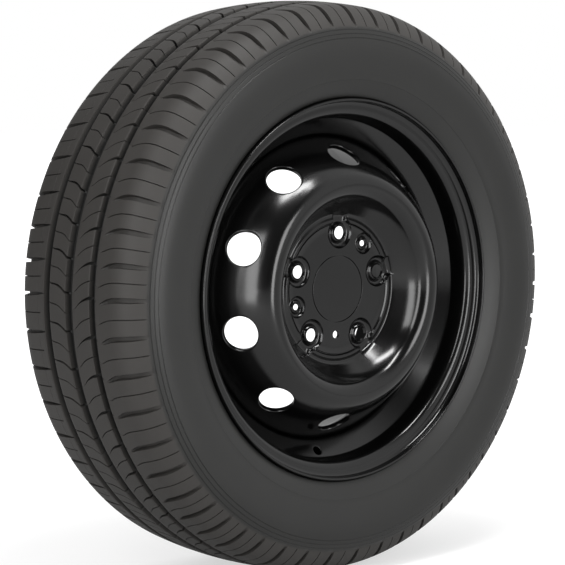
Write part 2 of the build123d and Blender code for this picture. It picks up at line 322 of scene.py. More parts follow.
# Carbon-black rubber, moulded: a dull dark grey with a fine grain. The tread is duller and a little browner
# than the smooth walls. The grooves are painted near black at the bottom, as painted shade for the dark that
# falls deep in them. The real grain is finer than the render can show, so it is drawn 2.2 mm wide.
RUBBER_TREAD = "#302E2C"
RUBBER_WALL = "#1C1C1B"
# Painted shade: the grooves' dark colour, the depths over which it comes in, and how far across it reaches.
PAINTED_GROOVE_SHADE = "#0E0E0D"
TREAD_EDGE = (299.0, 303.0)
PAINTED_SHADE_DEPTHS = (1.5, 6.0)
PAINTED_SHADE_END = (58.0, 66.0)
RUBBER_ROUGHNESS = {"wall": 0.42, "tread": 0.6}
RUBBER_GRAIN_MM = 2.2
GRAIN_HEIGHT_MM = 0.08
RUBBER_CLOUD_MM = 45.0
CLOUD_SPREAD = (0.3, 0.7)
CLOUD_SHADE = (0.94, 1.06)
rubber = bpy.data.materials.new("carbon_black_rubber_moulded")
rubber.use_nodes = True
tree = rubber.node_tree
tree.nodes.clear()
where = add_node(tree, "ShaderNodeTexCoord").outputs["Object"]
apart = add_node(tree, "ShaderNodeSeparateXYZ", inputs={"Vector": where})
round_axle = add_node(
    tree, "ShaderNodeCombineXYZ", inputs={"X": apart.outputs["X"], "Y": apart.outputs["Z"]}
)
reach = add_node(tree, "ShaderNodeVectorMath", {"operation": "LENGTH"}, {0: round_axle.outputs[0]})
tread_share = add_node(
    tree,
    "ShaderNodeMapRange",
    {"interpolation_type": "SMOOTHSTEP"},
    {"Value": reach.outputs["Value"], "From Min": TREAD_EDGE[0] * MM, "From Max": TREAD_EDGE[1] * MM},
)
grain = add_node(
    tree,
    "ShaderNodeTexNoise",
    inputs={"Vector": where, "Scale": 1 / (RUBBER_GRAIN_MM * MM), "Detail": 2.0},
)
cloud = add_node(
    tree,
    "ShaderNodeTexNoise",
    inputs={"Vector": where, "Scale": 1 / (RUBBER_CLOUD_MM * MM), "Detail": 3.0},
)
outer_tint = add_node(
    tree,
    "ShaderNodeMix",
    {"data_type": "RGBA"},
    {0: tread_share.outputs[0], 6: linear(RUBBER_WALL), 7: linear(RUBBER_TREAD)},
)

# Painted shade: the grooves are painted darker with their depth below the tread's arch, up to where the
# shoulders fall away, to stand in for the shade that falls in them.
sideways = apart.outputs["Y"]
squared = add_node(
    tree, "ShaderNodeMath", {"operation": "MULTIPLY"}, {0: sideways, 1: sideways}
).outputs[0]
crown_reach = add_node(
    tree,
    "ShaderNodeMath",
    {"operation": "MULTIPLY_ADD"},
    {0: squared, 1: 0.5 / (TREAD_ARCH * MM), 2: reach.outputs["Value"]},
)
above_painted_shade = add_node(
    tree,
    "ShaderNodeMapRange",
    inputs={
        "Value": crown_reach.outputs[0],
        "From Min": (TREAD_RADIUS - PAINTED_SHADE_DEPTHS[1]) * MM,
        "From Max": (TREAD_RADIUS - PAINTED_SHADE_DEPTHS[0]) * MM,
    },
)
past_painted_shade = add_node(
    tree,
    "ShaderNodeMapRange",
    inputs={
        "Value": squared,
        "From Min": (PAINTED_SHADE_END[0] * MM) ** 2,
        "From Max": (PAINTED_SHADE_END[1] * MM) ** 2,
    },
)
free_of_painted_shade = add_node(
    tree, "ShaderNodeMath", {"operation": "MAXIMUM"}, {0: above_painted_shade.outputs[0], 1: past_painted_shade.outputs[0]}
)
# Mixes the painted groove shade into the rubber's colour.
painted_groove_shade_tint = add_node(
    tree,
    "ShaderNodeMix",
    {"data_type": "RGBA"},
    {0: free_of_painted_shade.outputs[0], 6: linear(PAINTED_GROOVE_SHADE), 7: outer_tint.outputs[2]},
)
shade = add_node(
    tree,
    "ShaderNodeMapRange",
    inputs={
        "Value": cloud.outputs["Fac"],
        "From Min": CLOUD_SPREAD[0],
        "From Max": CLOUD_SPREAD[1],
        "To Min": CLOUD_SHADE[0],
        "To Max": CLOUD_SHADE[1],
    },
)
tinted = add_node(
    tree,
    "ShaderNodeVectorMath",
    {"operation": "SCALE"},
    {0: painted_groove_shade_tint.outputs[2], "Scale": shade.outputs[0]},
)
dull = add_node(
    tree,
    "ShaderNodeMapRange",
    inputs={
        "Value": tread_share.outputs[0],
        "To Min": RUBBER_ROUGHNESS["wall"],
        "To Max": RUBBER_ROUGHNESS["tread"],
    },
)
bump = add_node(
    tree,
    "ShaderNodeBump",
    inputs={"Height": grain.outputs["Fac"], "Strength": 0.25, "Distance": GRAIN_HEIGHT_MM * MM},
)
surface = add_node(
    tree,
    "ShaderNodeBsdfPrincipled",
    inputs={
        "Base Color": tinted.outputs[0],
        "Roughness": dull.outputs[0],
        "IOR": 1.5,
        "Specular IOR Level": 0.4,
        "Normal": bump.outputs[0],
    },
)
add_node(tree, "ShaderNodeOutputMaterial", inputs={"Surface": surface.outputs[0]})
tyre.data.materials.append(rubber)

# Rim: one strip of steel, rolled to a section and welded into a hoop. Its curled flanges hold the tyre's
# beads, and a drop well between the seats takes the disc. The valve's hole is in the well's outer wall.
RIM_SHEET = 3.0
FLANGE_CURL = 9.5
CURL_CENTRE = (98.4, 210.8)
CURL_ANGLE = 110.0
HEEL_ROUND = 6.5
RIM_CORNERS = (
    (-88.9, 210.8), (-88.9, 202.8), (-64.9, 200.7), (-50.0, 179.8), (-12.0, 179.8), (8.0, 192.2),
    (64.9, 200.7), (88.9, 202.8), (88.9, 210.8),
)
CURL_ROWS = 14
RIM_COLUMNS = 360
VALVE_ANGLE = 265.5
VALVE_RADIUS = 191.5
VALVE_HOLE = 5.75
VALVE_EDGE = 0.6
VALVE_COLUMNS = 8
VALVE_ROWS = 8
VALVE_WEB_ROWS = 5


def rounded_path(corners, radii, turn_step=7.0):
    """Points and left-hand normals along straight runs, with an arc of each radius at the corner between
    two of them, divided about every turn step of degrees."""
    corners = np.array(corners, float)
    runs = np.diff(corners, axis=0)
    runs /= np.hypot(*runs.T)[:, None]
    lefts = np.stack([-runs[:, 1], runs[:, 0]], axis=-1)
    points = [corners[:1]]
    normals = [lefts[:1]]
    for corner, into, out, left, radius in zip(corners[1:-1], runs, runs[1:], lefts, radii):
        turn = math.atan2(into[0] * out[1] - into[1] * out[0], into @ out)
        side = math.copysign(1, turn)
        centre = corner - into * radius * math.tan(abs(turn) / 2) + left * side * radius
        turns = np.linspace(0, turn, max(3, math.ceil(math.degrees(abs(turn)) / turn_step) + 1))
        across = np.cos(turns)[:, None] * left - np.sin(turns)[:, None] * into
        points.append(centre - side * radius * across)
        normals.append(across)
    return np.concatenate(points + [corners[-1:]]), np.concatenate(normals + [lefts[-1:]])


def sheet_end(point, normal, sheet, side):
    """Half-round edge of a sheet's end, without its first and last point: side 1 goes from the face to the
    back, and side -1 from the back to the face."""
    turns = np.radians(np.array([30, 60, 90, 120, 150.0])) * side
    onward = np.array([normal[1], -normal[0]])
    middle = point - normal * sheet / 2
    return middle + sheet / 2 * (np.cos(turns)[:, None] * normal * side + np.sin(turns)[:, None] * onward)


def sector_edge(columns, low, high, along):
    """Angles and distances of the points round a sector's edge: along its low side, up its right side, back
    along its high side and down its left side."""
    rise = np.linspace(low, high, along, endpoint=False)
    right = np.full(along, columns[-1])
    angles = np.concatenate([columns[:-1], right, -columns[:-1], -right])
    low_side = np.full(len(columns) - 1, low)
    return angles, np.concatenate([low_side, rise, low_side + high - low, low + high - rise])


def punched(across, up, hole, edge, sheet, web_rows):
    """Rings round a punched hole, from a loop of points round it: in along the face, closer together near
    the hole, over its rounded edge, through the sheet and out along the back to the same loop. Gives places
    across and up, and depths."""
    reach = np.hypot(across, up)
    web = hole + edge + (reach - hole - edge) * np.linspace(1, 0, web_rows)[:, None] ** 1.4
    over = np.radians(np.array([22.5, 45, 67.5, 90]))
    lip = np.broadcast_to((hole + edge * (1 - np.sin(over)))[:, None], (len(over), len(reach)))
    lip_depth = edge * (1 - np.cos(over))
    rings = np.concatenate([web, lip, lip[::-1], web[::-1]])
    flat = np.zeros(web_rows)
    depth = np.concatenate([flat, lip_depth, sheet - lip_depth[::-1], flat + sheet])[:, None]
    return rings * across / reach, rings * up / reach, depth


outer_curl, outer_curl_normals = arc_rows(CURL_CENTRE * MIRROR, FLANGE_CURL, CURL_ANGLE, 0, CURL_ROWS)
inner_curl, inner_curl_normals = arc_rows(CURL_CENTRE, FLANGE_CURL, 180, 180 - CURL_ANGLE, CURL_ROWS)
strip, strip_normals = rounded_path(RIM_CORNERS, [HEEL_ROUND] * (len(RIM_CORNERS) - 2))
strip = np.concatenate([outer_curl, strip[1:-1], inner_curl])
strip_normals = np.concatenate([outer_curl_normals, strip_normals[1:-1], inner_curl_normals])
wall_row = np.flatnonzero((strip[:-1, 1] > VALVE_RADIUS) & (strip[1:, 1] < VALVE_RADIUS))[0]
wall_top, wall_foot = strip[wall_row], strip[wall_row + 1]
wall_normal = strip_normals[wall_row]
wall_steps = np.linspace(0, 1, VALVE_ROWS + 1)[1:-1, None]
strip = np.insert(strip, wall_row + 1, wall_top + wall_steps * (wall_foot - wall_top), axis=0)
strip_normals = np.insert(strip_normals, wall_row + 1, np.tile(wall_normal, (VALVE_ROWS - 1, 1)), axis=0)
strip_back = strip - strip_normals * RIM_SHEET
lip_end = sheet_end(strip[-1], strip_normals[-1], RIM_SHEET, 1)
lip_start = sheet_end(strip[0], strip_normals[0], RIM_SHEET, -1)
rim_section = np.concatenate([strip, lip_end, strip_back[::-1], lip_start])
rim_step = 360 / RIM_COLUMNS
valve_columns = rim_step * (np.arange(VALVE_COLUMNS + 1) - VALVE_COLUMNS / 2)
plain_columns = valve_columns[-1] + rim_step * np.arange(RIM_COLUMNS - VALVE_COLUMNS + 1)
foot_row = wall_row + VALVE_ROWS
inner_part = np.concatenate([strip[foot_row:], lip_end, strip_back[foot_row:][::-1]])
outer_part = np.concatenate([strip_back[: wall_row + 1][::-1], lip_start, strip[: wall_row + 1]])

# The valve's hole: rings on the well's outer wall, which is straight between its two bends.
wall_length = np.hypot(*(wall_foot - wall_top))
wall_fall = (wall_foot - wall_top) / wall_length
valve_run = (VALVE_RADIUS - wall_top[1]) / wall_fall[1]
edge_angles, edge_runs = sector_edge(valve_columns, 0, wall_length, VALVE_ROWS)
edge_across = np.radians(edge_angles) * (wall_top[1] + edge_runs * wall_fall[1])
valve_across, valve_up, valve_depth = punched(
    edge_across, edge_runs - valve_run, VALVE_HOLE, VALVE_EDGE, RIM_SHEET, VALVE_WEB_ROWS
)
valve_radii = wall_top[1] + (valve_run + valve_up) * wall_fall[1]
valve_places = wall_top[0] + (valve_run + valve_up) * wall_fall[0]
valve_turn = VALVE_ANGLE + np.degrees(valve_across / valve_radii)
valve_grid = turned(
    valve_places - valve_depth * wall_normal[0], valve_radii - valve_depth * wall_normal[1], valve_turn
)
rim_grids = [
    (turned(rim_section[:, :1], rim_section[:, 1:], VALVE_ANGLE + plain_columns), True, False),
    (turned(inner_part[:, :1], inner_part[:, 1:], VALVE_ANGLE + valve_columns), False, False),
    (turned(outer_part[:, :1], outer_part[:, 1:], VALVE_ANGLE + valve_columns), False, False),
    (valve_grid, False, True),
]
rim = skin("rolled_steel_rim", rim_grids, sharp_angle=40)
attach(rim, "root")
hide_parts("rim")

# Black enamel on steel, dipped and stoved: an even, deep gloss with a very slight ripple from the bath, a
# little hazier in some places than in others.
ENAMEL = "#050505"
ENAMEL_ROUGHNESS = (0.14, 0.2)
RIPPLE_MM = 6.0
RIPPLE_HEIGHT_MM = 0.03
HAZE_MM = 60.0
enamel = bpy.data.materials.new("black_enamel_dipped_on_steel")
enamel.use_nodes = True
tree = enamel.node_tree
tree.nodes.clear()
where = add_node(tree, "ShaderNodeTexCoord").outputs["Object"]
ripple = add_node(
    tree, "ShaderNodeTexNoise", inputs={"Vector": where, "Scale": 1 / (RIPPLE_MM * MM), "Detail": 1.0}
)
haze = add_node(
    tree, "ShaderNodeTexNoise", inputs={"Vector": where, "Scale": 1 / (HAZE_MM * MM), "Detail": 2.0}
)
gloss = add_node(
    tree,
    "ShaderNodeMapRange",
    inputs={"Value": haze.outputs["Fac"], "To Min": ENAMEL_ROUGHNESS[0], "To Max": ENAMEL_ROUGHNESS[1]},
)
bump = add_node(
    tree,
    "ShaderNodeBump",
    inputs={"Height": ripple.outputs["Fac"], "Strength": 0.12, "Distance": RIPPLE_HEIGHT_MM * MM},
)
surface = add_node(
    tree,
    "ShaderNodeBsdfPrincipled",
    inputs={
        "Base Color": linear(ENAMEL),
        "Roughness": gloss.outputs[0],
        "IOR": 1.5,
        "Normal": bump.outputs[0],
    },
)
add_node(tree, "ShaderNodeOutputMaterial", inputs={"Surface": surface.outputs[0]})
rim.data.materials.append(enamel)

# Disc: one round of thick steel plate, pressed into a flat bolt face, a bowl that steepens upwards, a round
# crown and a cone with a flange. The vents and bolt holes are punched, the bolt recesses are pressed in
# like keyholes, and the back of the bolt face is cut flat where it meets the hub.
DISC_SHEET = 6.0
HUB_FACE = -79.0
MOUNT_FACE = HUB_FACE + DISC_SHEET
RING_FACE = HUB_FACE + 1.5
HUB_BORE = 35.8
BOWL_RADIUS = 85.5
BOWL_SLOPE = math.tan(math.radians(47.0))
BOWL_BEND = 102.9
BOWL_TOP_SLOPE = math.tan(math.radians(63.0))
CROWN_SLOPE = math.tan(math.radians(42.0))
CONE_SLOPE = math.tan(math.radians(57.0))
CROWN_SHOULDER = (-99.2, 143.8)
WELL_BORE = 176.8
FLANGE_LENGTH = 20.2
bend_place = RING_FACE - (BOWL_BEND - BOWL_RADIUS) * BOWL_SLOPE
bowl_start = bend_place + BOWL_BEND * BOWL_TOP_SLOPE
crown_start = CROWN_SHOULDER[0] - CROWN_SHOULDER[1] * CROWN_SLOPE
crown_radius = (bowl_start - crown_start) / (BOWL_TOP_SLOPE + CROWN_SLOPE)
flange_corner = CROWN_SHOULDER[0] + (WELL_BORE - CROWN_SHOULDER[1]) * CONE_SLOPE
flange_end = flange_corner + FLANGE_LENGTH
DISC_CORNERS = (
    (HUB_FACE, HUB_BORE), (HUB_FACE, 75.0), (RING_FACE, 79.0), (RING_FACE, BOWL_RADIUS),
    (bend_place, BOWL_BEND), (bowl_start - crown_radius * BOWL_TOP_SLOPE, crown_radius), CROWN_SHOULDER,
    (flange_corner, WELL_BORE), (flange_end, WELL_BORE),
)
DISC_ROUNDS = (8.0, 1.0, 7.0, 50.0, 18.0, 80.0, 14.0)
SECTOR_COUNT = 10
SECTOR_START = 87.4
SECTOR_COLUMNS = 24
NECK_COLUMNS = np.array([-8.0, -7.0, 7.0, 8.0])
FACING_RADIUS = 91.5
disc_path, disc_normals = rounded_path(DISC_CORNERS, DISC_ROUNDS, turn_step=4.8)
disc_runs = np.concatenate([[0], np.cumsum(np.hypot(*np.diff(disc_path, axis=0).T))])
half_sector = 180 / SECTOR_COUNT
even_columns = np.linspace(-half_sector, half_sector, SECTOR_COLUMNS + 1)
sector_level = np.sort(np.concatenate([even_columns, NECK_COLUMNS]))
sector_angles = SECTOR_START + 360 / SECTOR_COUNT * np.arange(SECTOR_COUNT)
disc_angles = (sector_angles[:, None] + sector_level[:-1]).reshape(-1)


def run_at(radius):
    """Distance along the plate's section to a radius inside the crown or on the cone."""
    return np.interp(radius, disc_path[:, 1], disc_runs)


def on_disc(run, angle, depth):
    """Points of the plate: a distance along its section, an angle round the axle, a depth below its street
    side. The back of the bolt face is cut off flat."""
    place, radius = (
        np.interp(run, disc_runs, street) - depth * np.interp(run, disc_runs, normal)
        for street, normal in zip(disc_path.T, disc_normals.T)
    )
    place = np.where(radius < FACING_RADIUS, np.minimum(place, MOUNT_FACE), place)
    return turned(place, radius, angle)


# Vents: round holes square to the cone, with edges rounded over by the punch.
VENT_RADIUS = 155.1
VENT_HOLE = 20.0
VENT_EDGE = 1.3
VENT_BAND = (135.0, 173.0)
VENT_ROWS = 18
VENT_WEB_ROWS = 8
cone_start, cone_stop = disc_runs[np.searchsorted(disc_path[:, 1], VENT_BAND)]
vent_run = run_at(VENT_RADIUS)
edge_angles, edge_runs = sector_edge(sector_level, cone_start, cone_stop, VENT_ROWS)
edge_across = np.radians(edge_angles) * np.interp(edge_runs, disc_runs, disc_path[:, 1])
vent_across, vent_up, vent_depth = punched(
    edge_across, edge_runs - vent_run, VENT_HOLE, VENT_EDGE, DISC_SHEET, VENT_WEB_ROWS
)
vent_up = vent_up + vent_run
vent_turn = np.degrees(vent_across / np.interp(vent_up, disc_runs, disc_path[:, 1]))
disc_grids = [(on_disc(vent_up, angle + vent_turn, vent_depth), False, True) for angle in sector_angles]

# Round the bolt face lies a press line, and past it a low ring that falls to the foot of the bowl.
FACE_START = 42.0
FACE_STOP = 74.6
RING_STOP = 80.0
WALL_START = 90.0
WALL_PAST = 94.0
wall_place = RING_FACE - (WALL_PAST - BOWL_RADIUS) * BOWL_SLOPE
LINE_CORNERS = (
    (HUB_FACE, FACE_START), (HUB_FACE, 69.0), (HUB_FACE - 0.9, 75.0), (HUB_FACE + 0.6, 75.5),
    (HUB_FACE + 0.6, 76.1), (HUB_FACE - 1.9, 77.7), (HUB_FACE - 1.9, 80.6), (RING_FACE, BOWL_RADIUS),
    (wall_place, WALL_PAST),
)
LINE_ROUNDS = (25.0, 0.25, 0.2, 0.2, 0.7, 1.5, 4.0)
line_path = rounded_path(LINE_CORNERS, LINE_ROUNDS, turn_step=12.0)[0]

# Bolt face: each sector runs from the cap's rebate to the press line, round its own hole. Every hole stands
# in a raised seat at the bottom of a recess, except for the drain. Where a recess runs out over the press
# line, like a keyhole, the sector goes with it.
FACE_STEPS = 24
RECESS_DEPTH = 4.2
RECESS_WALL = 5.0
COLLAR_WALL = 3.6
CONE_ANGLE = 48.0
BORE_END = HUB_FACE + 3.2
BACK_FLARE = 3.0
HOLES = {
    "bolt": {
        "centre": 65.0, "hole": 8.4, "cone": 8.8, "collar": 9.6, "rise": 4.6, "recess": 16.0, "neck": 9.2,
    },
    "locating": {
        "centre": 65.0, "hole": 4.85, "cone": 5.2, "collar": 5.6, "rise": 3.2, "recess": 10.4, "neck": 0.0,
    },
    "drain": {
        "centre": 53.0, "hole": 4.5, "cone": 4.8, "collar": 0.0, "rise": 0.0, "recess": 0.0, "neck": 0.0,
    },
}
FACE_ORDER = ("bolt", "", "bolt", "locating", "bolt", "drain", "bolt", "", "bolt", "locating")
CONE_RINGS = np.array([0, 0.1, 0.5, 1.0])
COLLAR_RINGS = np.array([-0.6, 0, 0.25, 0.5, 0.75, 1.0])
WALL_RINGS = np.array([-0.3, -0.1, 0.1, 0.25, 0.4, 0.5])
RING_LIMITS = (0.55, 0.985)
FRONT_RINGS = 9
BACK_RINGS = 4
EDGE_COLUMN = 7.5
NARROWEST = 4.5


def smooth(t):
    """Soft step: 0 below 0, 1 above 1, with level ends."""
    t = np.clip(t, 0, 1)
    return t * t * (3 - 2 * t)


def face_place(across, up, kind):
    """Place along the axle of the street face round a hole: the section's own place, sunk inside the
    keyhole's outline, raised by a soft step to the seat's collar and sloped in at the hole's cone."""
    radius = np.hypot(across, kind["centre"] + up)
    place = np.interp(radius, line_path[:, 1], line_path[:, 0])
    reach = np.hypot(across, up)
    if kind["recess"]:
        outline = reach - kind["recess"]
        if kind["neck"]:
            neck = np.maximum(np.abs(across) - kind["neck"], np.maximum(-up, radius - BOWL_RADIUS))
            outline = np.minimum(outline, neck)
        floor = HUB_FACE + RECESS_DEPTH
        sunk = 1 - np.clip(0.5 + outline / RECESS_WALL, 0, 1) ** 2
        place = place + sunk * np.maximum(0, floor - place)
        place = place - kind["rise"] * smooth((kind["collar"] + COLLAR_WALL - reach) / COLLAR_WALL)
    return place + np.maximum(0, kind["cone"] - reach) / math.tan(math.radians(CONE_ANGLE))


def recess_turn(radius, kind):
    """Half of the angle that a recess takes at a radius: its circle's half chord, by the rule of cosines, and
    past it a straight neck."""
    circle = kind["recess"] + RECESS_WALL / 2
    cosine = (radius**2 + kind["centre"] ** 2 - circle**2) / (2 * radius * kind["centre"])
    neck = max(kind["neck"] + RECESS_WALL / 2, NARROWEST) / radius
    return np.degrees(np.maximum(np.arccos(np.clip(cosine, -1, 1)), np.arcsin(neck)))


def sector_columns(radius, columns, hole):
    """Angles of a sector's columns at a radius: the edge columns follow the recess, and the columns within
    and past them spread out evenly."""
    if hole not in ("bolt", "locating"):
        return np.broadcast_to(columns, np.broadcast_shapes(np.shape(radius), np.shape(columns)))
    turn = recess_turn(radius, HOLES[hole])
    within = np.minimum(np.abs(columns) / EDGE_COLUMN, 1)
    past = np.maximum(np.abs(columns) - EDGE_COLUMN, 0) / (half_sector - EDGE_COLUMN)
    return np.sign(columns) * (within * turn + past * (half_sector - turn))


ring_radii = line_path[:, 1]
foot_radii = ring_radii[(ring_radii > RING_STOP) & (ring_radii < WALL_START)]
foot_radii = np.concatenate([[RING_STOP], foot_radii, [WALL_START]])[:, None]
ring_radii = ring_radii[(ring_radii > FACE_STOP) & (ring_radii < RING_STOP)]
ring_radii = np.concatenate([[FACE_STOP], ring_radii, [RING_STOP]])[:, None]
ring_places = np.interp(ring_radii, line_path[:, 1], line_path[:, 0])
outer_columns = sector_level[sector_level >= EDGE_COLUMN]
inner_columns = sector_level[np.abs(sector_level) <= EDGE_COLUMN]


def face_sector(angle, hole):
    """One sector of the bolt face: rings from the sector's edge in along the back to the hole, through it
    and out across its seat, the recess and the street face to the same edge."""
    kind = HOLES[hole]
    edge_angles, edge_radii = sector_edge(sector_level, FACE_START, FACE_STOP, FACE_STEPS)
    if kind["recess"]:
        side = slice(0, len(sector_level) - 1 + FACE_STEPS)
        stop_columns = sector_columns(FACE_STOP, outer_columns, hole)[:0:-1]
        rise = sector_columns(ring_radii[:-1], EDGE_COLUMN, hole)[:, 0]
        over = sector_columns(RING_STOP, inner_columns, hole)[:0:-1]
        fall = -sector_columns(ring_radii[:0:-1], EDGE_COLUMN, hole)[:, 0]
        back_side = -sector_columns(FACE_STOP, outer_columns, hole)[:-1]
        edge_angles = np.concatenate(
            [edge_angles[side], stop_columns, rise, over, fall, back_side, np.full(FACE_STEPS, -half_sector)]
        )
        edge_radii = np.concatenate(
            [
                edge_radii[side],
                np.full(len(stop_columns), FACE_STOP),
                ring_radii[:-1, 0],
                np.full(len(over), RING_STOP),
                ring_radii[:0:-1, 0],
                np.full(len(back_side), FACE_STOP),
                np.linspace(FACE_STOP, FACE_START, FACE_STEPS, endpoint=False),
            ]
        )
    edge_turn = np.radians(edge_angles)
    across = edge_radii * np.sin(edge_turn)
    up = edge_radii * np.cos(edge_turn) - kind["centre"]
    reach = np.hypot(across, up)
    rings = kind["hole"] + (kind["cone"] - kind["hole"]) * CONE_RINGS
    if kind["recess"]:
        collar = kind["collar"] + COLLAR_WALL * COLLAR_RINGS
        wall = kind["recess"] + RECESS_WALL * WALL_RINGS
        rings = np.concatenate([rings, collar, wall])
    limits = np.linspace(*RING_LIMITS, len(rings))
    near = np.minimum(rings[:, None], reach * limits[:, None])
    front = np.concatenate([near, near[-1] + (reach - near[-1]) * np.linspace(0, 1, FRONT_RINGS)[1:, None]])
    flare = kind["hole"] + BACK_FLARE
    back = flare + (reach - flare) * np.linspace(1, 0, BACK_RINGS)[:, None]
    back = np.concatenate([back, np.full((1, len(reach)), kind["hole"])])
    spread = np.concatenate([back, front])
    across = spread * across / reach
    up = spread * up / reach
    place = face_place(across, up, kind)
    place[: len(back)] = MOUNT_FACE
    place[len(back) - 1] = BORE_END
    turn = angle + np.degrees(np.arctan2(across, kind["centre"] + up))
    return turned(place, np.hypot(across, kind["centre"] + up), turn), False, True


face_radii = np.linspace(FACE_START, FACE_STOP, FACE_STEPS + 1)[:, None]
face_places = np.interp(face_radii, line_path[:, 1], line_path[:, 0])
for angle, hole in zip(sector_angles, FACE_ORDER):
    if hole:
        disc_grids.append(face_sector(angle, hole))
    ring_sides = (outer_columns, -outer_columns) if hole in ("bolt", "locating") else (sector_level,)
    for columns in ring_sides:
        ring_turn = angle + sector_columns(ring_radii, columns, hole)
        for places in (ring_places, np.full_like(ring_places, MOUNT_FACE)):
            disc_grids.append((turned(places, ring_radii, ring_turn), False, False))
    if not hole:
        for places in (face_places, np.full_like(face_places, MOUNT_FACE)):
            disc_grids.append((turned(places, face_radii, angle + sector_level), False, False))

# Round the bore: the cap's rebate, cut with a small broken edge, and the bore itself.
REBATE_RADIUS = 39.1
REBATE_FLOOR = HUB_FACE + 2.4
REBATE_SECTION = np.array(
    [
        (HUB_FACE, FACE_START), (HUB_FACE, REBATE_RADIUS + 0.5), (HUB_FACE, REBATE_RADIUS + 0.2),
        (HUB_FACE + 0.12, REBATE_RADIUS + 0.02), (HUB_FACE + 0.4, REBATE_RADIUS),
        (REBATE_FLOOR, REBATE_RADIUS), (REBATE_FLOOR, HUB_BORE), (MOUNT_FACE, HUB_BORE),
        (MOUNT_FACE, FACE_START),
    ]
)
disc_grids.append((turned(REBATE_SECTION[:, :1], REBATE_SECTION[:, 1:], disc_angles), False, True))

# Foot of the bowl: the necks of the five bolt recesses run out into it.
plain_foot = np.interp(foot_radii, line_path[:, 1], line_path[:, 0])
foot_spread = (WALL_START - foot_radii) / (WALL_START - RING_STOP)
foot_columns = sector_level[:-1]
foot_angles = []
foot_places = []
for angle, hole in zip(sector_angles, FACE_ORDER):
    foot_turn = foot_columns + foot_spread * (sector_columns(foot_radii, foot_columns, hole) - foot_columns)
    if hole == "bolt":
        foot_lean = np.radians(foot_turn)
        foot_up = foot_radii * np.cos(foot_lean) - HOLES[hole]["centre"]
        foot_places.append(face_place(foot_radii * np.sin(foot_lean), foot_up, HOLES[hole]))
    else:
        foot_places.append(np.broadcast_to(plain_foot, foot_turn.shape))
    foot_angles.append(angle + foot_turn)
foot_angles = np.concatenate(foot_angles, axis=1)
disc_grids.append((turned(np.concatenate(foot_places, axis=1), foot_radii, foot_angles), False, True))

# Bowl, crown and cone from the foot to the vents, then from the vents round the flange's end and back.
wall_run = run_at(WALL_START)
bowl_runs = disc_runs[(disc_runs > wall_run) & (disc_runs <= cone_start)]
bowl_runs = np.concatenate([[wall_run], bowl_runs])[:, None]
back_runs = disc_runs[(disc_runs > run_at(RING_STOP)) & (disc_runs <= cone_start)]
back_runs = np.concatenate([[run_at(RING_STOP)], back_runs])[:, None]
back_angles = np.vstack([foot_angles[:1], np.tile(disc_angles, (len(back_runs) - 1, 1))])
flange_runs = disc_runs[disc_runs >= cone_stop][:, None]
end_runs = np.full((2, 1), disc_runs[-1])
end_depths = np.array([0.0, DISC_SHEET])[:, None]
for runs, angles, depths in (
    (bowl_runs, disc_angles, 0.0),
    (back_runs, back_angles, DISC_SHEET),
    (flange_runs, disc_angles, 0.0),
    (end_runs, disc_angles, end_depths),
    (flange_runs, disc_angles, DISC_SHEET),
):
    disc_grids.append((on_disc(runs, angles, depths), False, True))
disc = skin("pressed_steel_disc", disc_grids, sharp_angle=42)
disc.data.materials.append(enamel)
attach(disc, "root")
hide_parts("disc")

# Centre cap: a flat round of steel plate, painted like the wheel. It lies in the rebate, flush with the bolt
# face, and a dark joint is left round it.
CAP_RADIUS = 38.0
CAP_SECTION = np.array(
    [
        (HUB_FACE, 0.0), (HUB_FACE, CAP_RADIUS - 18.0), (HUB_FACE, CAP_RADIUS - 0.6),
        (HUB_FACE, CAP_RADIUS - 0.2), (HUB_FACE + 0.12, CAP_RADIUS - 0.02), (HUB_FACE + 0.4, CAP_RADIUS),
        (REBATE_FLOOR, CAP_RADIUS), (REBATE_FLOOR, 0.0),
    ]
)
cap_grid = turned(CAP_SECTION[:, :1], CAP_SECTION[:, 1:], disc_angles)
cap = skin("centre_cap_plate", [(cap_grid, False, True)], sharp_angle=42)
cap.data.materials.append(enamel)
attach(cap, "root")
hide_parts("centre_cap")

# Welds: eight beads of steel wire, melted by a machine into the corner between the flange's end and the
# well. Each is a row of overlapping drops that thins out at both ends, painted with the wheel.
WELD_COUNT = 8
WELD_ARC = 24.0
WELD_LEG = 4.5
WELD_COLUMNS = 97
WELD_ROWS = 7
END_POWER = 8
BEAD_HOLLOW = 0.28
DROP_MM = 2.2
DROP_RIPPLE = 0.07
weld_turn = np.linspace(0, 1, WELD_COLUMNS)
drops = weld_turn * math.radians(WELD_ARC) * WELL_BORE / DROP_MM
drop_swell = 1 - DROP_RIPPLE + DROP_RIPPLE * np.cos(2 * math.pi * drops)
weld_swell = (1 - np.abs(2 * weld_turn - 1) ** END_POWER) * drop_swell
weld_lean = np.radians(np.linspace(0, 90, WELD_ROWS))[:, None]
bead_bulge = WELD_LEG * (1 - BEAD_HOLLOW * np.sin(2 * weld_lean) ** 2) * weld_swell
weld_root = np.zeros((1, len(weld_turn)))
weld_place = flange_end + np.concatenate([weld_root, bead_bulge * np.sin(weld_lean)])
weld_radius = WELL_BORE - np.concatenate([weld_root, bead_bulge * np.cos(weld_lean)])
weld_grids = []
for bead in range(WELD_COUNT):
    bead_angles = 90 - 360 / WELD_COUNT * bead - WELD_ARC * weld_turn
    weld_grids.append((turned(weld_place, weld_radius, bead_angles), True, False))
welds = skin("disc_weld_beads", weld_grids, sharp_angle=50)
welds.data.materials.append(enamel)
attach(welds, "root")
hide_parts("disc_welds")

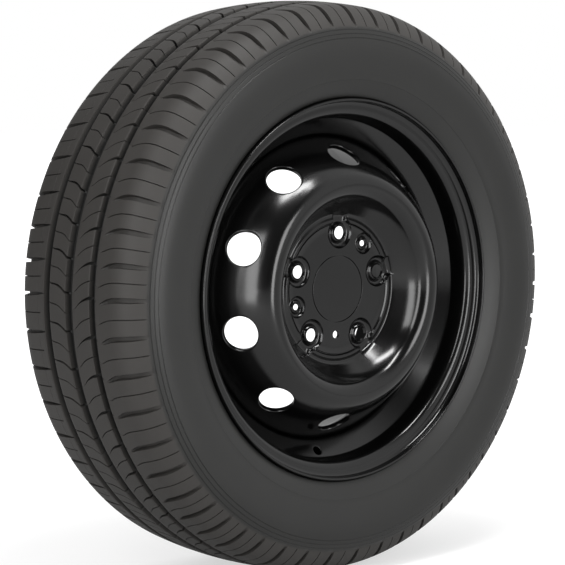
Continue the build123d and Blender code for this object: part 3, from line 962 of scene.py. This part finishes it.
# Stage: a sheet of matt white paper that the tyre stands on. Far from the tyre it is as white as the
# backdrop, and under the tyre it keeps the shadow. Sizes here and below are in metres.
PAPER = "#B0B0B0"
WHITE = "#FFFFFF"
FLOOR_SIZE = 30.0
FLOOR_GLOW = (0.6, 1.0)
FLOOR_GLOW_REACH = (0.5, 1.5)
GLOSS_SHARE = 0.3
floor_corners = np.array([(-1, -1), (1, -1), (1, 1), (-1, 1)]) * FLOOR_SIZE / 2
floor_mesh = bpy.data.meshes.new("floor")
floor_mesh.from_pydata([(x, y, -TREAD_RADIUS * MM) for x, y in floor_corners], [], [(0, 1, 2, 3)])
floor = bpy.data.objects.new("floor", floor_mesh)
bpy.context.scene.collection.objects.link(floor)
paper = bpy.data.materials.new("white_paper_matt")
paper.use_nodes = True
tree = paper.node_tree
tree.nodes.clear()
rays = add_node(tree, "ShaderNodeLightPath")
seen_or_mirrored = add_node(
    tree,
    "ShaderNodeMath",
    {"operation": "MULTIPLY_ADD"},
    {0: rays.outputs["Is Glossy Ray"], 1: GLOSS_SHARE, 2: rays.outputs["Is Camera Ray"]},
)
seen = add_node(
    tree,
    "ShaderNodeMath",
    {"operation": "MAXIMUM"},
    {0: seen_or_mirrored.outputs[0], 1: rays.outputs["Is Transmission Ray"]},
)
where = add_node(tree, "ShaderNodeTexCoord").outputs["Object"]
away = add_node(tree, "ShaderNodeVectorMath", {"operation": "LENGTH"}, {0: where})
far_glow = add_node(
    tree,
    "ShaderNodeMapRange",
    {"interpolation_type": "SMOOTHSTEP"},
    {
        "Value": away.outputs["Value"],
        "From Min": FLOOR_GLOW_REACH[0],
        "From Max": FLOOR_GLOW_REACH[1],
        "To Min": FLOOR_GLOW[0],
        "To Max": FLOOR_GLOW[1],
    },
)
glow = add_node(
    tree, "ShaderNodeMath", {"operation": "MULTIPLY"}, {0: seen.outputs[0], 1: far_glow.outputs[0]}
)
surface = add_node(
    tree,
    "ShaderNodeBsdfPrincipled",
    inputs={
        "Base Color": linear(PAPER),
        "Roughness": 0.9,
        "Specular IOR Level": 0.0,
        "Emission Color": linear(WHITE),
        "Emission Strength": glow.outputs[0],
    },
)
add_node(tree, "ShaderNodeOutputMaterial", inputs={"Surface": surface.outputs[0]})
floor_mesh.materials.append(paper)

# Lamps: three soft boxes, low in front of the wheel, at its left and high above it, each with its place, its
# size and the brightness of its cloth. A lamp's power is four times its area times that brightness.
WATTS_FOR_BRIGHTNESS = 4
LAMPS = (
    ("front_soft_box", (0.0, -2.2, 0.2), (0.7, 1.9), 5.4),
    ("left_soft_box", (-1.92, -0.98, 0.5), (0.66, 2.2), 5.0),
    ("top_soft_box", (-0.16, -0.665, 1.88), (0.9, 0.3), 20.0),
)
for name, place, (width, height), brightness in LAMPS:
    lamp_data = bpy.data.lights.new(name, "AREA")
    lamp_data.shape = "RECTANGLE"
    lamp_data.size = width
    lamp_data.size_y = height
    lamp_data.energy = WATTS_FOR_BRIGHTNESS * width * height * brightness
    lamp = bpy.data.objects.new(name, lamp_data)
    bpy.context.scene.collection.objects.link(lamp)
    lamp.location = place
    lamp.rotation_euler = (-Vector(place)).to_track_quat("-Z", "Y").to_euler()
    lamp.visible_camera = False

# Backdrop: white paper to the eye. In gloss it is nearly white at the right and dark at the left, where the
# room is, and its soft fill on the wheel grows from nothing below to most from above.
ROOM_FILL = (0.0, 1.2)
FILL_FOOT = -0.2
ROOM_GLOSS = (0.08, 0.9)
GLOSS_EDGE = 0.4
world = bpy.data.worlds.new("white_studio")
bpy.context.scene.world = world
world.use_nodes = True
tree = world.node_tree
tree.nodes.clear()
rays = add_node(tree, "ShaderNodeLightPath")
ray_way = add_node(tree, "ShaderNodeTexCoord").outputs["Generated"]
ray_parts = add_node(tree, "ShaderNodeSeparateXYZ", inputs={"Vector": ray_way})
in_gloss = add_node(
    tree,
    "ShaderNodeMapRange",
    inputs={
        "Value": ray_parts.outputs["X"],
        "From Max": GLOSS_EDGE,
        "To Min": ROOM_GLOSS[0],
        "To Max": ROOM_GLOSS[1],
    },
)
fill = add_node(
    tree,
    "ShaderNodeMapRange",
    inputs={
        "Value": ray_parts.outputs["Z"],
        "From Min": FILL_FOOT,
        "To Min": ROOM_FILL[0],
        "To Max": ROOM_FILL[1],
    },
)
in_paint = add_node(
    tree,
    "ShaderNodeMix",
    inputs={0: rays.outputs["Is Glossy Ray"], 2: fill.outputs[0], 3: in_gloss.outputs[0]},
)
seen = add_node(
    tree,
    "ShaderNodeMath",
    {"operation": "MAXIMUM"},
    {0: rays.outputs["Is Camera Ray"], 1: rays.outputs["Is Transmission Ray"]},
)
strength = add_node(tree, "ShaderNodeMix", inputs={0: seen.outputs[0], 2: in_paint.outputs[0], 3: 1.0})
backdrop = add_node(
    tree, "ShaderNodeBackground", inputs={"Color": linear(WHITE), "Strength": strength.outputs[0]}
)
add_node(tree, "ShaderNodeOutputWorld", inputs={"Surface": backdrop.outputs[0]})

# Camera: 2.9 m away, a little above the axle, looking at the street side from its left. Its place, aim and
# lens come from the ellipses of the wheel's circles.
CAMERA_PLACE = (-1.8981, -2.1435, 0.2587)
CAMERA_AIM = (0.6573, 0.7483, -0.0893)
LENS = 155.3
SENSOR = 36.0
camera_data = bpy.data.cameras.new("camera")
camera_data.lens = LENS
camera_data.sensor_width = SENSOR
camera = bpy.data.objects.new("camera", camera_data)
bpy.context.scene.collection.objects.link(camera)
camera.location = CAMERA_PLACE
camera.rotation_euler = Vector(CAMERA_AIM).to_track_quat("-Z", "Y").to_euler()
bpy.context.scene.camera = camera
bpy.context.scene.view_settings.view_transform = "Standard"
